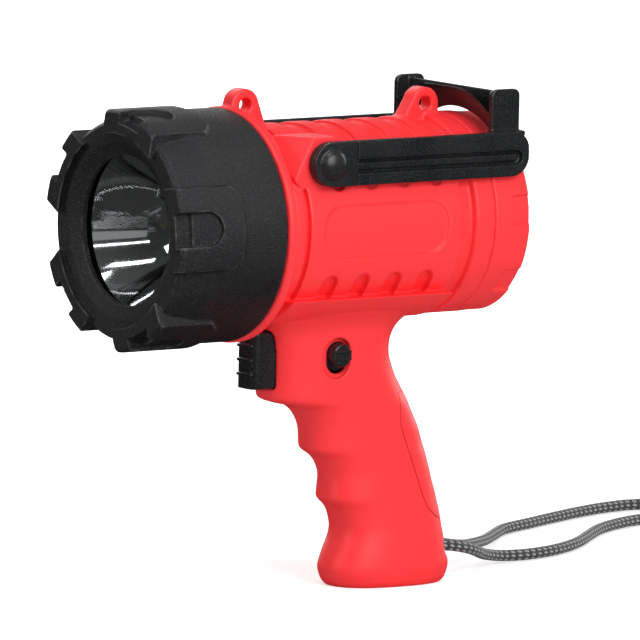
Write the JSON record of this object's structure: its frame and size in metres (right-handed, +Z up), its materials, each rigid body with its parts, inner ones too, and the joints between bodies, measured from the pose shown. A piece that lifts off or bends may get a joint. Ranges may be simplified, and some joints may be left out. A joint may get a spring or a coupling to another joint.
{
  "type": "handheld searchlight",
  "caption": "Handheld searchlight with a pistol grip, ribbed trigger, armoured rubber bezel, screw-on rear cap, folding stand and a wrist lanyard.",
  "frame": {"origin": "middle of the grip's flat base", "axes": "+Z up from the base to the barrel, -Y the way the lamp shines, +X the lamp's left side with the lock button"},
  "size_m": [0.1938, 0.4148, 0.2263],
  "materials": {
    "red_moulding": "soft-touch satin, fine mould texture",
    "black_rubber": "matt, fine pebbled",
    "black_moulding": "satin",
    "grey_moulding": "satin",
    "clear_lens": "clear, polished",
    "chrome_bowl": "bright mirror",
    "steel": "plain",
    "alloy": "as machined",
    "brass": "plain",
    "board": "glass-fibre board with solder mask",
    "led_phosphor": "yellow phosphor under silicone",
    "cell_jacket": "printed-free steel jacket",
    "seal_rubber": "smooth",
    "wire_jacket": "smooth",
    "braided_cord": "grey and black braid"
  },
  "bodies": {
    "housing": {"main_housing": "red_moulding", "grip_backstrap": "red_moulding", "reflector": "chrome_bowl", "led_emitter": "led_phosphor", "led_board": "board", "heat_sink": "alloy", "board_screw_1": "steel", "board_screw_2": "steel", "head_seal": "seal_rubber", "battery_carrier": "grey_moulding", "front_contact_board": "board", "battery_cell_1": "cell_jacket", "battery_cell_2": "cell_jacket", "battery_cell_3": "cell_jacket", "battery_cell_4": "cell_jacket", "trigger_spring": "steel", "trigger_switch": "grey_moulding", "switch_frame": "grey_moulding", "frame_screw_1": "steel", "frame_screw_2": "steel", "lock_spring": "steel", "pivot_pin_left": "steel", "pivot_pin_right": "steel", "lanyard_pin": "steel", "lanyard_cord": "braided_cord", "wire_lamp": "wire_jacket", "wire_switch": "wire_jacket"},
    "stand": {"stand_frame": "black_moulding", "hinge_cap_left": "black_moulding", "hinge_cap_right": "black_moulding"},
    "bezel": {"head_bezel": "black_rubber", "lens_gasket": "seal_rubber", "lens": "clear_lens"},
    "tail_cap": {"rear_cap": "red_moulding", "cap_contact_plate": "brass", "contact_spring": "brass", "cap_seal": "seal_rubber"},
    "trigger_body": {"trigger": "black_moulding"},
    "lock_body": {"lock_button": "black_moulding"}
  },
  "joints": [
    {"name": "stand_pivot", "type": "hinge", "parent": "housing", "child": "stand", "pos_m": [0, -0.0653, 0.1959], "axis": [1, 0, 0], "range_deg": [0, 120]},
    {"name": "bezel_turn", "type": "hinge", "parent": "housing", "child": "bezel", "pos_m": [0, -0.1198, 0.166], "axis": [0, 1, 0], "continuous": true},
    {"name": "cap_turn", "type": "hinge", "parent": "housing", "child": "tail_cap", "pos_m": [0, 0.0352, 0.166], "axis": [0, 1, 0], "continuous": true},
    {"name": "trigger_slide", "type": "slide", "parent": "housing", "child": "trigger_body", "axis": [0, 1, 0], "range_m": [0, 0.006], "stiffness_N_per_m": 500, "springref_m": -0.002, "deforming": ["trigger_spring"]},
    {"name": "lock_slide", "type": "slide", "parent": "housing", "child": "lock_body", "axis": [-1, 0, 0], "range_m": [0, 0.003], "stiffness_N_per_m": 400, "springref_m": -0.002, "deforming": ["lock_spring"]}
  ]
}
